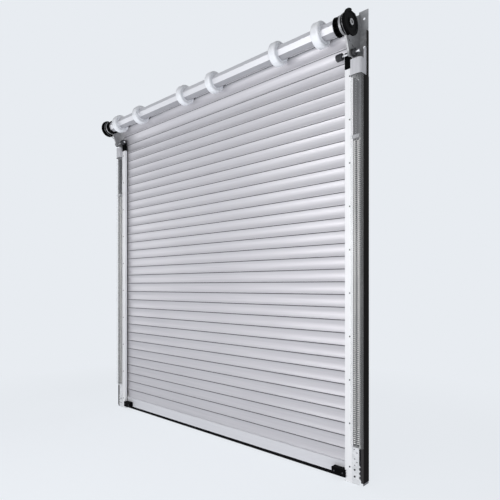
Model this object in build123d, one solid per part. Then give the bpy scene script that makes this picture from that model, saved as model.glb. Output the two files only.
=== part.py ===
from build123d import *
import os
from math import acos, atan2, cos, pi, radians, sin, sqrt

# Spring-balanced roll-up shutter, seen from the room side.
# Millimetres. +X to the right, -Y towards the room, +Z up.
# The origin is at the bottom centre of the whole shutter.

# Doorway and layout
clear_width = 1700.0
guide_height = 1740.0
shaft_above_guide = 142.0
shaft_to_wall = 124.0
curtain_to_wall = 20.0

# Rope drum, with a step in its outer rim for the rope's end
drum_radius = 51.5
drum_barrel_radius = 40.0
drum_inner_rim_radius = 41.5
drum_rim = 2.5
drum_outer_rim = 6.0
drum_notch_depth = 7.5
drum_setback = 7.0
drum_gap = 3.0
drum_hub_radius = 21.0
drum_hub_recess = 2.0

# Guide rail
guide_width = 38.0
guide_depth = 45.0
guide_wall = 2.0
mouth_width = 22.0

# Slide liner in the guide's mouth
liner_depth = 12.0
slat_liner_gap = 0.6

# Spring channel beside the guide
channel_width = 48.0
channel_wall = 1.5
channel_below_guide = 40.0

# Side cover
side_cover_wall = 2.0
side_cover_lip = 12.0
side_cover_foot = 10.0
side_strip_depth = 16.0
side_strip_setback = 2.0
side_strip_height = 190.0

# Clear spring cover and the housing above it
cover_wall = 1.5
cover_bulge = 20.0
cover_round = 14.0
cover_inner_round = 8.0
cover_overlap = 4.0
housing_wall = 2.0
housing_height = 66.0
housing_ear_height = 50.0
housing_ear_depth = 34.0
housing_ear_round = 14.0
housing_back_gap = 0.3

# Spring anchor plate at the foot
anchor_thickness = 2.0
anchor_height = 152.0
anchor_reach = 30.0
anchor_tooth = 7.0
anchor_tooth_pitch = 18.0
anchor_tooth_count = 4
anchor_tooth_start = 22.0
shelf_thickness = 4.0
shelf_margin = 1.0
perforation_radius = 2.6
perforation_shares = ((0.233, 0.941), (0.667, 0.862), (0.333, 0.684), (0.667, 0.605), (0.333, 0.513))
anchor_bolt_shares = ((0.333, 0.204), (0.333, 0.388))
anchor_bolt_head = 4.2
anchor_bolt_head_height = 2.0
anchor_bolt_shank = 2.5

# Springs, two side by side in each channel
spring_outer_radius = 7.5
spring_wire = 2.6
spring_gap = 2.0
spring_setback = 1.0
spring_turns = 24
spring_end_bend = 5.0
head_drop = 262.0
head_height = 14.0
head_margin = 1.0
head_front_margin = 5.0
head_seat_gap = 0.3
head_rope_clearance = 0.6

# Rope
rope_radius = 1.5
rope_running_gap = 0.3

# Axle with rope pulley and inlet roller
axle_radius = 4.0
axle_to_wall = 68.0
axle_above_guide = 48.0
axle_reach = 27.0
axle_setback = 6.0
axle_head_radius = 6.0
axle_head_length = 2.0
pulley_radius = 16.0
pulley_groove_radius = 12.0
pulley_width = 14.0
pulley_rim = 2.4
roller_radius = 15.0
roller_end_gap = 1.0
roller_length = 26.0
roller_groove = 1.2
roller_groove_width = 2.0
roller_groove_count = 3

# Inlet block on top of the guide
inlet_width = 33.0
inlet_height = 72.0
inlet_front_proud = 2.0
inlet_throat = 20.0
inlet_mouth_front = 21.0
inlet_mouth_back = 14.0
inlet_straight = 10.0
inlet_round = 5.0

# Console
console_gap = 5.0
console_plate = 5.0
console_above_shaft = 95.0
nose_radius = 39.0
nose_front_shares = (0.23, -0.9)
nose_back_shares = (0.63, 0.77)
flange_thickness = 3.0
flange_height = 285.0
axle_margin = 23.0
console_edge = 3.0
console_edge_width = 9.0
console_housing_gap = 6.0
heel_gap = 5.0
heel_height = 45.0
wall_hole_radius = 5.5
wall_hole_spacing = 120.0
wall_hole_drop = 35.0
wall_hole_from_edge = 19.0

# Shaft
tube_across_flats = 60.0
tube_wall = 1.5
hub_clearance = 0.05
ring_radius = 53.0
ring_width = 40.0
ring_place_shares = (0.14, 0.6447, 0.9176)
ring_recess_depth = 2.5
ring_recess_inner = 36.0
ring_recess_outer = 43.0
ring_round = 8.0
ring_spoke_width = 5.0
ring_spoke_count = 8
end_hub_radius = 39.0
end_hub_length = 25.0
end_hub_disc = 5.0
end_hub_core = 18.0
end_hub_rib = 3.0
end_hub_rib_count = 12
end_hub_spigot = 45.0
stub_radius = 12.5
stub_setback = 20.0
stub_reach = 2.0
bearing_radius = 20.0
bearing_flange_radius = 26.0
bearing_flange = 2.0
bearing_screw_radius = 2.2
bearing_screw_head = 4.0
bearing_screw_head_height = 2.0
bearing_screw_circle = 31.0
fit_clearance = 0.05

# Curtain
slat_pitch = 55.0
slat_depth = 13.5
slat_wall = 1.1
slat_sag = 4.7
slat_bead = 1.2
slat_bead_height = 3.0
slat_joint_gap = 2.2
cavity_shift_share = 0.3
slat_in_guide = 26.0
tongue_width = 2.8
tongue_height = 8.4
bent_tongue_height = 3.1
groove_clearance = 0.6
groove_depth = 8.0
curtain_above_guide = 45.0
leaning_slats = 2
slats_in_band = 6
lean_angle = 20.0
rail_top = 75.4
rail_wall = 2.0
seal_height = 18.0
seal_thickness = 12.0
seal_tip_radius = 4.0
seal_lip = 3.0
end_block_reach = 63.0
end_block_lap = 5.0
end_block_bottom = 15.0
end_block_height = 32.0
end_block_proud = 7.0
end_block_gap = 1.0
end_block_round = 3.0
end_block_screw_inset = 13.0
end_block_screw_radius = 3.4
end_block_screw_height = 1.6
strap_width = 30.0
strap_thickness = 2.6
strap_drop = 13.0
strap_rise = 20.0
strap_ring_gap = 0.5

# Small screws in the guide's front strip
screw_from_edge = 15.0
screw_first = 65.0
screw_pitch = 182.5
screw_count = 10
screw_head_radius = 3.2
screw_head_height = 1.8
screw_shank_radius = 1.9
screw_length = 6.0
screw_hole_gap = 0.05

# One overrun serves every cut
overrun = 1.0

# Places worked out from the sizes above
shaft_height = guide_height + shaft_above_guide
channel_height = guide_height - channel_below_guide
axle_height = guide_height + axle_above_guide
spring_top = channel_height - head_drop
console_top = shaft_height + console_above_shaft
wall_y = (shaft_to_wall + max(drum_radius, ring_radius)) / 2
shaft_y = wall_y - shaft_to_wall
curtain_y = wall_y - curtain_to_wall
guide_front = wall_y - guide_depth
guide_inner = clear_width / 2
guide_outer = guide_inner + guide_width
channel_outer = guide_outer + channel_width
side_outer = channel_outer + side_cover_wall
lip_inner = side_outer - side_cover_lip
cover_front = guide_front - cover_bulge
housing_top = channel_height + housing_height
axle_y = wall_y - axle_to_wall
console_inner = guide_outer + console_gap
console_outer = console_inner + console_plate
spring_mid = (guide_outer + channel_wall + lip_inner) / 2
spring_y = guide_front - spring_setback
spring_offset = spring_outer_radius + spring_gap / 2
rope_x = spring_mid
drum_inner = console_outer + drum_gap
drum_outer = channel_outer - drum_setback
pulley_rope_radius = pulley_groove_radius + rope_radius + rope_running_gap
drum_rope_radius = drum_barrel_radius + rope_radius + rope_running_gap
rope_y = axle_y + pulley_rope_radius
shelf_top = anchor_height + shelf_thickness
slat_half_length = guide_inner + slat_in_guide
tube_end = console_inner - console_gap - end_hub_length
axle_inner_end = guide_inner - axle_reach
axle_outer_end = channel_outer - axle_setback
roller_start = axle_inner_end + axle_head_length + roller_end_gap
end_block_start = guide_inner - end_block_reach
end_block_end = guide_inner + end_block_lap
straight_slats = int((guide_height + curtain_above_guide - rail_top) / slat_pitch)
ring_places = [guide_inner * share for share in ring_place_shares]
sides = (("right", 1), ("left", -1))


def block(x_low, x_high, y_low, y_high, z_low, z_high):
    """A box between two corners."""
    middle = Pos((x_low + x_high) / 2, (y_low + y_high) / 2, (z_low + z_high) / 2)
    return middle * Box(x_high - x_low, y_high - y_low, z_high - z_low)


def rod(radius, x_low, x_high, y, z):
    """A cylinder that lies along X."""
    return Pos((x_low + x_high) / 2, y, z) * Rot(0, 90, 0) * Cylinder(radius, x_high - x_low)


def pin(radius, x, z, y_low, y_high):
    """A cylinder that lies along Y."""
    return Pos(x, (y_low + y_high) / 2, z) * Rot(90, 0, 0) * Cylinder(radius, y_high - y_low)


def upright(points, z_low, z_high):
    """A section drawn in X and Y, run from one height to another."""
    face = make_face(Polyline(*points, close=True))
    return Pos(0, 0, z_low) * extrude(face, z_high - z_low)


def across(face, x_low, x_high):
    """A face drawn in Y and Z, run from one X to another."""
    return Pos(x_low, 0, 0) * extrude(Plane.YZ * face, x_high - x_low)


def octagon(across_flats):
    """An octagon in Y and Z with corners at its front, back, top and bottom."""
    return RegularPolygon(across_flats / 2, 8, major_radius=False)


def shaft_prism(across_flats, x_low, x_high):
    """An octagonal bar on the shaft's axis."""
    bar = extrude(Plane.YZ * octagon(across_flats), x_high - x_low)
    return Pos(x_low, shaft_y, shaft_height) * bar


def on_side(shape, sign):
    """The shape as drawn for the right, or its mirror image."""
    return shape if sign > 0 else mirror(shape, about=Plane.YZ)


def write(shape, node):
    """Writes one node's file."""
    shape.label = node
    export_step(shape, f"parts/{node}.step")


def group(solids):
    """Separate solids in one node."""
    return Compound(children=list(solids))


# Guide rail, with a hole for each screw of its front strip
def screw_heights():
    return [screw_first + index * screw_pitch for index in range(screw_count)]


def guide_rail():
    """A front angle, an outer wall and a rear angle, so that the mouth stays open in collision."""
    half_mouth = mouth_width / 2
    inner_wall = guide_inner + guide_wall
    outer_wall = guide_outer - guide_wall
    front = upright(
        [
            (guide_inner, curtain_y - half_mouth),
            (guide_inner, guide_front),
            (guide_outer, guide_front),
            (guide_outer, guide_front + guide_wall),
            (inner_wall, guide_front + guide_wall),
            (inner_wall, curtain_y - half_mouth),
        ],
        0,
        guide_height,
    )
    rear = upright(
        [
            (guide_inner, curtain_y + half_mouth),
            (inner_wall, curtain_y + half_mouth),
            (inner_wall, wall_y - guide_wall),
            (guide_outer, wall_y - guide_wall),
            (guide_outer, wall_y),
            (guide_inner, wall_y),
        ],
        0,
        guide_height,
    )
    x = guide_outer - screw_from_edge
    low, high = guide_front - overrun, guide_front + guide_wall + overrun
    for z in screw_heights():
        front -= pin(screw_shank_radius + screw_hole_gap, x, z, low, high)
    wall_low, wall_high = guide_front + guide_wall, wall_y - guide_wall
    return [front, block(outer_wall, guide_outer, wall_low, wall_high, 0, guide_height), rear]


def rail_screw(z):
    x = guide_outer - screw_from_edge
    head = pin(screw_head_radius, x, z, guide_front - screw_head_height, guide_front)
    rim = head.edges().group_by(Axis.Y)[0]
    head = fillet(rim, screw_head_height / 2)
    return head + pin(screw_shank_radius, x, z, guide_front, guide_front + screw_length)


def slide_liner():
    """Two strips that fill the mouth up to the slats, one in front and one behind."""
    near, far = slat_depth / 2 + slat_liner_gap, mouth_width / 2
    strips = []
    for way in (-1, 1):
        low, high = sorted((curtain_y + way * near, curtain_y + way * far))
        strips.append(block(guide_inner, guide_inner + liner_depth, low, high, 0, guide_height))
    return strips


# Spring channel, side cover, clear cover and housing
def spring_channel():
    """Two walls and a back, so that the channel stays open in collision."""
    inside = guide_outer + channel_wall
    outside = channel_outer - channel_wall
    back = wall_y - channel_wall
    return [
        block(guide_outer, inside, guide_front, back, 0, channel_height),
        block(outside, channel_outer, guide_front + side_cover_wall, back, 0, channel_height),
        block(guide_outer, channel_outer, back, wall_y, 0, channel_height),
    ]


def side_cover():
    cover = upright(
        [
            (lip_inner, guide_front),
            (side_outer, guide_front),
            (side_outer, wall_y),
            (channel_outer, wall_y),
            (channel_outer, guide_front + side_cover_wall),
            (lip_inner, guide_front + side_cover_wall),
        ],
        side_cover_foot,
        channel_height,
    )
    strip_back = wall_y - side_strip_setback
    strip_front = strip_back - side_strip_depth
    strip_top = channel_height + side_strip_height
    return cover + block(
        channel_outer, side_outer, strip_front, strip_back, channel_height, strip_top
    )


def shell_section(x_low, x_high, y_back, wall):
    """The bulging section that the clear cover and the housing share, open at the back."""
    front = cover_front
    left, right = x_low + cover_inner_round, x_high - cover_round
    left_y, right_y = front + cover_inner_round, front + cover_round
    small, large = cover_inner_round - wall, cover_round - wall
    lines = [
        Line((x_low, guide_front), (x_low, left_y)),
        CenterArc((left, left_y), cover_inner_round, 180, 90),
        Line((left, front), (right, front)),
        CenterArc((right, right_y), cover_round, 270, 90),
        Line((x_high, right_y), (x_high, y_back)),
        Line((x_high, y_back), (x_high - wall, y_back)),
        Line((x_high - wall, y_back), (x_high - wall, right_y)),
        CenterArc((right, right_y), large, 270, 90),
        Line((right, front + wall), (left, front + wall)),
        CenterArc((left, left_y), small, 180, 90),
        Line((x_low + wall, left_y), (x_low + wall, guide_front)),
        Line((x_low + wall, guide_front), (x_low, guide_front)),
    ]
    return make_face(Curve() + lines)


def spring_cover():
    section = shell_section(guide_outer - cover_overlap, side_outer, guide_front, cover_wall)
    return Pos(0, 0, shelf_top) * extrude(section, channel_height - shelf_top)


def upper_housing():
    back = wall_y - flange_thickness - housing_back_gap
    section = shell_section(guide_outer - cover_overlap, channel_outer, back, housing_wall)
    shell = Pos(0, 0, channel_height) * extrude(section, housing_height)
    ear = block(
        channel_outer - housing_wall,
        channel_outer,
        back - housing_ear_depth,
        back,
        housing_top,
        housing_top + housing_ear_height,
    )
    corner = ear.edges().filter_by(Axis.X).group_by(Axis.Z)[-1].sort_by(Axis.Y)[0]
    return shell + fillet(corner, housing_ear_round)


# Anchor plate: a toothed, perforated strip with a shelf that the springs stand on
def shelf_ends():
    reach = spring_offset + spring_outer_radius + shelf_margin
    return spring_mid - reach, spring_mid + reach


def anchor_places(shares):
    """Places on the plate's face, from shares of its reach and height."""
    return [(guide_outer + x * anchor_reach, z * anchor_height) for x, z in shares]


def anchor_plate():
    left = guide_outer - cover_overlap
    right = guide_outer + anchor_reach
    front = guide_front - anchor_thickness
    plate = block(left, right, front, guide_front, 0, anchor_height)
    for index in range(anchor_tooth_count):
        z = anchor_tooth_start + index * anchor_tooth_pitch
        half = anchor_tooth_pitch / 3
        tooth = make_face(
            Polyline((right, z - half), (right + anchor_tooth, z), (right, z + half), close=True)
        )
        plate += Pos(0, guide_front, 0) * extrude(Plane.XZ * tooth, anchor_thickness)
    low, high = front - overrun, guide_front + overrun
    for x, z in anchor_places(perforation_shares):
        plate -= pin(perforation_radius, x, z, low, high)
    for x, z in anchor_places(anchor_bolt_shares):
        plate -= pin(anchor_bolt_shank + fit_clearance, x, z, low, high)
    shelf_left, shelf_right = shelf_ends()
    shelf_front = rope_y - rope_radius - shelf_margin
    shelf_back = spring_y + spring_outer_radius + shelf_margin
    return plate + block(
        shelf_left, shelf_right, shelf_front, shelf_back, anchor_height, shelf_top
    )


def anchor_bolt(x, z):
    """A bolt through the anchor plate with its nut behind."""
    front = guide_front - anchor_thickness
    turn = Pos(x, front, z) * Rot(90, 0, 0)
    head = turn * extrude(RegularPolygon(anchor_bolt_head, 6), anchor_bolt_head_height)
    nut_place = Pos(x, guide_front, z) * Rot(-90, 0, 0)
    nut = nut_place * extrude(RegularPolygon(anchor_bolt_head, 6), anchor_bolt_head_height)
    return head + nut + pin(anchor_bolt_shank, x, z, front, guide_front)


# Springs: each is one wire along a helix of quarter turns, each made of two arcs
def biarc(start, start_way, end, end_way):
    """Two arcs that touch, from one point and direction to another."""
    across_both = end - start
    both_ways = start_way + end_way
    a = 2 * (start_way.dot(end_way) - 1)
    b = -2 * across_both.dot(both_ways)
    c = across_both.dot(across_both)
    reach = (-b - sqrt(b * b - 4 * a * c)) / (2 * a)
    if reach < 0:
        reach = (-b + sqrt(b * b - 4 * a * c)) / (2 * a)
    first_corner = start + start_way * reach
    second_corner = end - end_way * reach
    join = (first_corner + second_corner) / 2
    return [arc_at(start, first_corner, join), arc_at(join, second_corner, end)]


def arc_at(start, corner, end):
    """The arc that touches both sides of a corner at its two ends."""
    middle = (start + end) / 2
    half = (end - start).length / 2
    side = (corner - start).length
    angle = acos(half / side)
    rise = half / sin(angle) * (1 - cos(angle))
    return ThreePointArc(start, middle + (corner - middle).normalized() * rise, end)


def spring(x):
    """One spring, standing on the shelf and ending under the spring head."""
    coil = spring_outer_radius - spring_wire / 2
    top = spring_top - head_seat_gap
    bends = 0.0
    pitch = (top - shelf_top) / spring_turns
    for _ in range(spring_turns):
        slope = atan2(pitch, 2 * pi * coil)
        bends = spring_end_bend * sin(pi / 2 - slope)
        pitch = (top - shelf_top - 2 * (spring_wire + bends)) / spring_turns
    slope = atan2(pitch, 2 * pi * coil)
    turn = pi / 2 - slope
    shift = spring_end_bend * (1 - cos(turn))
    first = shelf_top + spring_wire + bends

    def point(quarter):
        angle = quarter * pi / 2
        height = first + pitch * quarter / 4
        return Vector(x + coil * cos(angle), spring_y + coil * sin(angle), height)

    def way(quarter):
        angle = quarter * pi / 2
        return Vector(-sin(angle) * cos(slope), cos(angle) * cos(slope), sin(slope))

    last = 4 * spring_turns
    up = Vector(0, 0, 1)
    foot = point(0) - Vector(0, shift, bends)
    crown = point(last) + Vector(0, shift, bends)
    tangent_reach = spring_end_bend * sin(turn / 2) / cos(turn / 2)
    path = [Line(foot - up * spring_wire, foot)]
    path.append(arc_at(foot, foot + up * tangent_reach, point(0)))
    for quarter in range(last):
        path += biarc(point(quarter), way(quarter), point(quarter + 1), way(quarter + 1))
    path.append(arc_at(point(last), crown - up * tangent_reach, crown))
    path.append(Line(crown, crown + up * spring_wire))
    wire = Wire(path)
    section = Plane(origin=wire @ 0, z_dir=wire % 0) * Circle(spring_wire / 2)
    solid = sweep(section, path=wire)
    samples = [wire @ (index / (12 * last)) for index in range(12 * last)]
    clear = min(
        (samples[i] - samples[j]).length
        for i in range(0, 12 * 12)
        for j in range(i + 24, 12 * 16)
    )
    share = solid.volume / (pi * (spring_wire / 2) ** 2 * wire.length)
    print(f"spring: gap to itself {clear - spring_wire:.2f} mm, volume share {share:.4f}")
    return solid


def spring_head():
    """The block that ties both springs to the rope, with a clear hole for the rope."""
    left = spring_mid - spring_offset - spring_outer_radius - head_margin
    right = spring_mid + spring_offset + spring_outer_radius + head_margin
    front = spring_y - spring_outer_radius - head_front_margin
    back = spring_y + spring_outer_radius + head_margin
    head = block(left, right, front, back, spring_top, spring_top + head_height)
    head = fillet(head.edges().filter_by(Axis.Z), head_margin)
    hole = Pos(rope_x, rope_y, spring_top + head_height / 2)
    return head - hole * Cylinder(rope_radius + head_rope_clearance, head_height + overrun)


# Rope, from the front of the drum over the rear of the pulley and down between the springs
def rope():
    drop = shaft_height - axle_height
    reach = axle_y - shaft_y
    apart = sqrt(drop**2 + reach**2)
    lift = acos((drum_rope_radius + pulley_rope_radius) / apart)
    drum_contact = 2 * pi + atan2(-drop, reach) - lift
    pulley_contact = drum_contact - pi

    def around(y, z, radius, angle):
        return Vector(rope_x, y + radius * cos(angle), z + radius * sin(angle))

    def arc(y, z, radius, start, end):
        middle = (start + end) / 2
        return ThreePointArc(
            around(y, z, radius, start), around(y, z, radius, middle), around(y, z, radius, end)
        )

    top = around(shaft_y, shaft_height, drum_rope_radius, pi / 2)
    leave_drum = around(shaft_y, shaft_height, drum_rope_radius, drum_contact)
    meet_pulley = around(axle_y, axle_height, pulley_rope_radius, pulley_contact)
    leave_pulley = around(axle_y, axle_height, pulley_rope_radius, 0)
    foot = Vector(rope_x, rope_y, shelf_top)
    path = Wire(
        [
            Line(top + Vector(0, 2 * rope_radius, 0), top),
            arc(shaft_y, shaft_height, drum_rope_radius, pi / 2, pi),
            arc(shaft_y, shaft_height, drum_rope_radius, pi, drum_contact),
            Line(leave_drum, meet_pulley),
            arc(axle_y, axle_height, pulley_rope_radius, pulley_contact, 0),
            Line(leave_pulley, foot),
        ]
    )
    solid = sweep(Plane(origin=path @ 0, z_dir=path % 0) * Circle(rope_radius), path=path)
    share = solid.volume / (pi * rope_radius**2 * path.length)
    print(f"rope: length {path.length:.0f} mm, volume share {share:.4f}")
    return solid


# Axle with its rope pulley and inlet roller
def roller_axle():
    axle = rod(axle_radius, axle_inner_end, axle_outer_end, axle_y, axle_height)
    inner = axle_inner_end + axle_head_length
    outer = axle_outer_end - axle_head_length
    axle += rod(axle_head_radius, axle_inner_end, inner, axle_y, axle_height)
    return axle + rod(axle_head_radius, outer, axle_outer_end, axle_y, axle_height)


def rope_pulley():
    left, right = rope_x - pulley_width / 2, rope_x + pulley_width / 2
    wheel = rod(pulley_radius, left, right, axle_y, axle_height)
    low, high = left + pulley_rim, right - pulley_rim
    channel = rod(pulley_radius + overrun, low, high, axle_y, axle_height)
    wheel -= channel - rod(pulley_groove_radius, left, right, axle_y, axle_height)
    bore = rod(axle_radius + fit_clearance, left - overrun, right + overrun, axle_y, axle_height)
    return wheel - bore


def inlet_roller():
    end = roller_start + roller_length
    roller = rod(roller_radius, roller_start, end, axle_y, axle_height)
    for index in range(roller_groove_count):
        middle = roller_start + roller_length * (index + 1) / (roller_groove_count + 1)
        low, high = middle - roller_groove_width / 2, middle + roller_groove_width / 2
        ring = rod(roller_radius + overrun, low, high, axle_y, axle_height)
        roller -= ring - rod(roller_radius - roller_groove, low, high, axle_y, axle_height)
    bore = rod(axle_radius + fit_clearance, roller_start - overrun, end + overrun, axle_y, axle_height)
    return roller - bore


def inlet_block():
    """The funnel that leads the slats into the guide."""
    right = guide_inner + inlet_width
    front = guide_front - inlet_front_proud
    top = guide_height + inlet_height
    funnel = block(guide_inner, right, front, wall_y, guide_height, top)
    funnel = fillet(funnel.edges().filter_by(Axis.X).group_by(Axis.Z)[-1], inlet_round)
    half = inlet_throat / 2
    mouth = make_face(
        Polyline(
            (curtain_y - half, guide_height - overrun),
            (curtain_y - half, guide_height + inlet_straight),
            (curtain_y - inlet_mouth_front, top),
            (curtain_y - inlet_mouth_front, top + overrun),
            (curtain_y + inlet_mouth_back, top + overrun),
            (curtain_y + inlet_mouth_back, top),
            (curtain_y + half, guide_height + inlet_straight),
            (curtain_y + half, guide_height - overrun),
            close=True,
        )
    )
    return funnel - across(mouth, guide_inner - overrun, right - guide_wall)


# Console: a gusset with a round nose about the shaft, and a wall flange
def console():
    nose = Pos(shaft_y, shaft_height) * Circle(nose_radius)
    low_front = axle_y - axle_margin
    heel_y = cover_front + heel_gap
    low = housing_top + console_housing_gap
    nose_front_y, nose_front_z = (nose_radius * share for share in nose_front_shares)
    nose_back_y, nose_back_z = (nose_radius * share for share in nose_back_shares)
    web = make_face(
        Polyline(
            (wall_y, channel_height),
            (heel_y + heel_height, channel_height),
            (heel_y, channel_height + heel_height),
            (heel_y, low),
            (low_front, low),
            (low_front, axle_height),
            (shaft_y + nose_front_y, shaft_height + nose_front_z),
            (shaft_y, shaft_height),
            (shaft_y + nose_back_y, shaft_height + nose_back_z),
            (wall_y, console_top),
            close=True,
        )
    )
    outline = nose + web
    plate = across(outline, console_inner, console_outer)
    flange = block(
        console_inner,
        channel_outer,
        wall_y - flange_thickness,
        wall_y,
        channel_height,
        channel_height + flange_height,
    )
    body = plate + flange + console_edge_strip(outline)
    x = channel_outer - wall_hole_from_edge
    for z in wall_hole_heights():
        body -= pin(wall_hole_radius, x, z, wall_y - flange_thickness - overrun, wall_y + overrun)
    low_x, high_x = console_inner - overrun, console_outer + overrun
    body -= rod(bearing_radius + fit_clearance, low_x, high_x, shaft_y, shaft_height)
    body -= rod(axle_radius + fit_clearance, low_x, high_x, axle_y, axle_height)
    for y, z in bearing_screw_places():
        body -= rod(bearing_screw_radius + fit_clearance, low_x, high_x, y, z)
    return body


def console_edge_strip(outline):
    """The turned edge along the front of the nose and the gusset."""
    low = housing_top + console_housing_gap
    inside = offset(outline, -console_edge)
    strip = across(outline - inside, console_outer - console_edge_width, console_outer)
    front = shaft_y - nose_radius - overrun
    back = axle_y - axle_radius - console_edge
    end = console_outer + overrun
    keep = block(console_inner - console_edge_width, end, front, back, low, console_top)
    return strip & keep


def wall_hole_heights():
    top = channel_height + flange_height - wall_hole_drop
    return top - wall_hole_spacing, top


def bearing_screw_places():
    return [
        (shaft_y + bearing_screw_circle * cos(angle), shaft_height + bearing_screw_circle * sin(angle))
        for angle in (radians(45), radians(135), radians(225))
    ]


def shaft_bearing():
    """A flanged ring in the console's nose."""
    body = rod(bearing_radius, console_inner, console_outer, shaft_y, shaft_height)
    start = console_inner - bearing_flange
    body += rod(bearing_flange_radius, start, console_inner, shaft_y, shaft_height)
    low, high = start - overrun, console_outer + overrun
    return body - rod(stub_radius + fit_clearance, low, high, shaft_y, shaft_height)


def bearing_screw(y, z):
    low = console_inner - bearing_screw_head_height
    head = rod(bearing_screw_head, low, console_inner, y, z)
    return head + rod(bearing_screw_radius, console_inner, console_outer, y, z)


# Shaft: tube, winding rings, end hubs, stubs and drums
def octagonal_tube():
    outer = shaft_prism(tube_across_flats, -tube_end, tube_end)
    inner_flats = tube_across_flats - 2 * tube_wall
    return outer - shaft_prism(inner_flats, -tube_end - overrun, tube_end + overrun)


def winding_ring(x):
    """A soft-edged ring of white plastic with a shallow spoked recess on each face."""
    left, right = x - ring_width / 2, x + ring_width / 2
    ring = rod(ring_radius, left, right, shaft_y, shaft_height)
    ring = fillet(ring.edges(), ring_round)
    faces = (
        (left - overrun, left + ring_recess_depth),
        (right - ring_recess_depth, right + overrun),
    )
    for low, high in faces:
        recess = rod(ring_recess_outer, low, high, shaft_y, shaft_height)
        recess -= rod(ring_recess_inner, low, high, shaft_y, shaft_height)
        for index in range(ring_spoke_count):
            turn = Rot(360 * (index + 0.5) / ring_spoke_count, 0, 0)
            half = ring_spoke_width / 2
            spoke = block(low, high, -half, half, 0, ring_radius)
            recess -= Pos(0, shaft_y, shaft_height) * turn * spoke
        ring -= recess
    return ring - shaft_prism(tube_across_flats + 2 * hub_clearance, left - overrun, right + overrun)


def end_hub():
    """A ribbed hub on the tube's end with a spigot inside the tube."""
    end = tube_end + end_hub_length
    hub = rod(end_hub_radius, tube_end, tube_end + end_hub_disc, shaft_y, shaft_height)
    hub += rod(end_hub_radius, end - end_hub_disc, end, shaft_y, shaft_height)
    hub += rod(end_hub_core, tube_end, end, shaft_y, shaft_height)
    for index in range(end_hub_rib_count):
        turn = Rot(360 * index / end_hub_rib_count, 0, 0)
        half = end_hub_rib / 2
        rib = block(tube_end, end, -half, half, 0, end_hub_radius - half)
        hub += Pos(0, shaft_y, shaft_height) * turn * rib
    spigot_flats = tube_across_flats - 2 * tube_wall - 2 * hub_clearance
    hub += shaft_prism(spigot_flats, tube_end - end_hub_spigot, tube_end)
    low, high = tube_end - end_hub_spigot - overrun, end + overrun
    return hub - rod(stub_radius + fit_clearance, low, high, shaft_y, shaft_height)


def axle_stub():
    stub = rod(stub_radius, tube_end - stub_setback, drum_outer + stub_reach, shaft_y, shaft_height)
    return chamfer(stub.edges(), side_cover_wall / 2)


def rope_drum():
    """A grooved drum with a step in its outer rim for the rope's end."""
    drum = rod(drum_barrel_radius, drum_inner, drum_outer, shaft_y, shaft_height)
    drum += rod(drum_inner_rim_radius, drum_inner, drum_inner + drum_rim, shaft_y, shaft_height)
    drum += rod(drum_radius, drum_outer - drum_outer_rim, drum_outer, shaft_y, shaft_height)
    low, high = drum_outer - drum_outer_rim - overrun, drum_outer + overrun
    edge = drum_radius + overrun
    step = block(low, high, 0, edge, drum_radius - drum_notch_depth, edge)
    drum -= Pos(0, shaft_y, shaft_height) * step
    dish = rod(drum_barrel_radius, drum_outer - drum_hub_recess, high, shaft_y, shaft_height)
    dish -= rod(drum_hub_radius, drum_outer - drum_hub_recess, high, shaft_y, shaft_height)
    drum -= dish
    return drum - rod(stub_radius + fit_clearance, drum_inner - overrun, high, shaft_y, shaft_height)


# Curtain: slats of one hollow section, hung on each other by tongue and groove
def slat_face(tongue):
    """The slat's section, with the room side to the left and its foot at zero."""
    front = -slat_depth / 2 + slat_bead
    top = slat_pitch - slat_joint_gap
    middle = (slat_bead_height + top) / 2
    body = slat_depth - slat_bead - slat_sag
    back = front + body
    centre = front + body / 2
    groove = tongue_width / 2 + groove_clearance
    lines = [
        ThreePointArc((front, 0), (front - slat_bead, slat_bead_height / 2), (front, slat_bead_height)),
        ThreePointArc((front, slat_bead_height), (front + slat_sag, middle), (front, top)),
    ]
    crown = [(front, top)]
    if tongue:
        half = tongue_width / 2
        crown += [
            (centre - half, top),
            (centre - half, top + tongue),
            (centre + half, top + tongue),
            (centre + half, top),
        ]
    crown.append((back, top))
    foot = [
        (back, 0),
        (centre + groove, 0),
        (centre + groove, groove_depth),
        (centre - groove, groove_depth),
        (centre - groove, 0),
        (front, 0),
    ]
    lines += [
        Polyline(*crown),
        ThreePointArc((back, top), (back + slat_sag, top / 2), (back, 0)),
        Polyline(*foot),
    ]
    skin = make_face(Curve() + lines)
    low, high = groove_depth + slat_wall, top - slat_wall
    shift = slat_sag * cavity_shift_share
    cavity = make_face(
        Curve()
        + [
            ThreePointArc(
                (front + shift + slat_wall, low),
                (front + slat_sag + slat_wall, middle),
                (front + slat_wall, high),
            ),
            Line((front + slat_wall, high), (back - slat_wall, high)),
            ThreePointArc(
                (back - slat_wall, high),
                (back + slat_sag - slat_wall, top / 2),
                (back + shift - slat_wall, low),
            ),
            Line((back + shift - slat_wall, low), (front + shift + slat_wall, low)),
        ]
    )
    return skin - cavity


def slat(index, tongue):
    bar = across(slat_face(tongue), -slat_half_length, slat_half_length)
    return Pos(0, curtain_y, rail_top + index * slat_pitch) * bar


def lean(u, v):
    """A point of the leaning pair, by its place across and along the slats."""
    angle = radians(lean_angle)
    base_z = rail_top + straight_slats * slat_pitch
    across_lean = u + slat_depth / 2
    y = curtain_y - slat_depth / 2 + across_lean * cos(angle) - v * sin(angle)
    return y, base_z + across_lean * sin(angle) + v * cos(angle)


def leaning_slat(index, tongue):
    bar = across(slat_face(tongue), -slat_half_length, slat_half_length)
    bar = Pos(0, slat_depth / 2, index * slat_pitch) * bar
    y, z = lean(-slat_depth / 2, 0)
    return Pos(0, y, z) * Rot(lean_angle, 0, 0) * bar


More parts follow.
